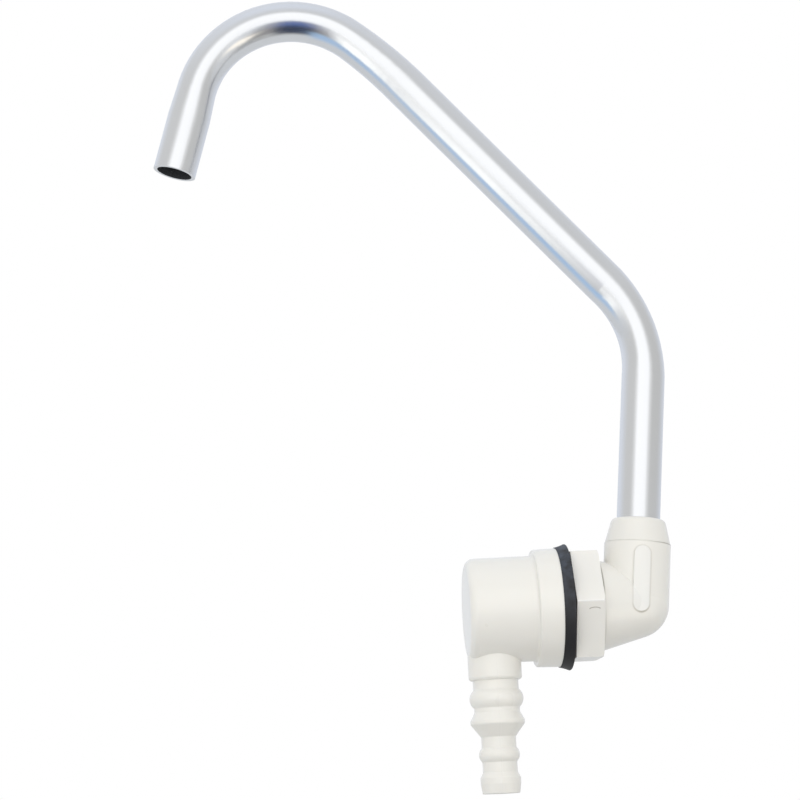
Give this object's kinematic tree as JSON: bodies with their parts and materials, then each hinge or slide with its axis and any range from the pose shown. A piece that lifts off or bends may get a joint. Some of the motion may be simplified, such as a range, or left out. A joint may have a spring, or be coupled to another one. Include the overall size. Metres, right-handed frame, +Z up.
{
  "type": "tap",
  "caption": "Bulkhead tap with a stepped hose tail, a folding elbow that shuts the water off, and a long bent swivelling spout.",
  "frame": {"origin": "centre of the flange's front face, where the gasket lies against it, on the axis of the threaded nose", "axes": "+X along the nose axis, out of the panel into the room; +Z up, away from the hose tail; XZ is the plane of the bent spout at rest"},
  "size_m": [0.1406, 0.0344, 0.2251],
  "materials": {
    "ivory_plastic": "moulded, semi-gloss",
    "gasket_rubber": "matt, moulded",
    "ring_rubber": "smooth",
    "acetal": "machined",
    "spring_steel": "ground",
    "anodised_aluminium": "satin anodised"
  },
  "bodies": {
    "body": {"valve_body": "ivory_plastic", "rear_cap": "ivory_plastic", "cap_o_ring": "ring_rubber", "bulkhead_gasket": "gasket_rubber", "lock_nut": "ivory_plastic", "port_seal": "ring_rubber"},
    "elbow": {"elbow": "ivory_plastic", "spigot_o_ring_front": "ring_rubber", "spigot_o_ring_rear": "ring_rubber", "thrust_washer": "acetal", "spigot_circlip": "spring_steel", "valve_rotor": "acetal", "rotor_o_ring": "ring_rubber", "rotor_spring_washer": "spring_steel", "spout_o_ring_lower": "ring_rubber", "spout_o_ring_upper": "ring_rubber", "spout_backup_ring": "acetal", "spout_collar": "ivory_plastic"},
    "spout": {"spout_tube": "anodised_aluminium", "spout_clip": "spring_steel"}
  },
  "joints": [
    {"name": "spout_fold", "type": "hinge", "parent": "body", "child": "elbow", "pos_m": [0, 0, 0], "axis": [1, 0, 0], "range_deg": [-90, 90]},
    {"name": "spout_swivel", "type": "hinge", "parent": "elbow", "child": "spout", "pos_m": [0.02184, 0, 0], "axis": [0.1, 0, 0.995], "continuous": true}
  ]
}
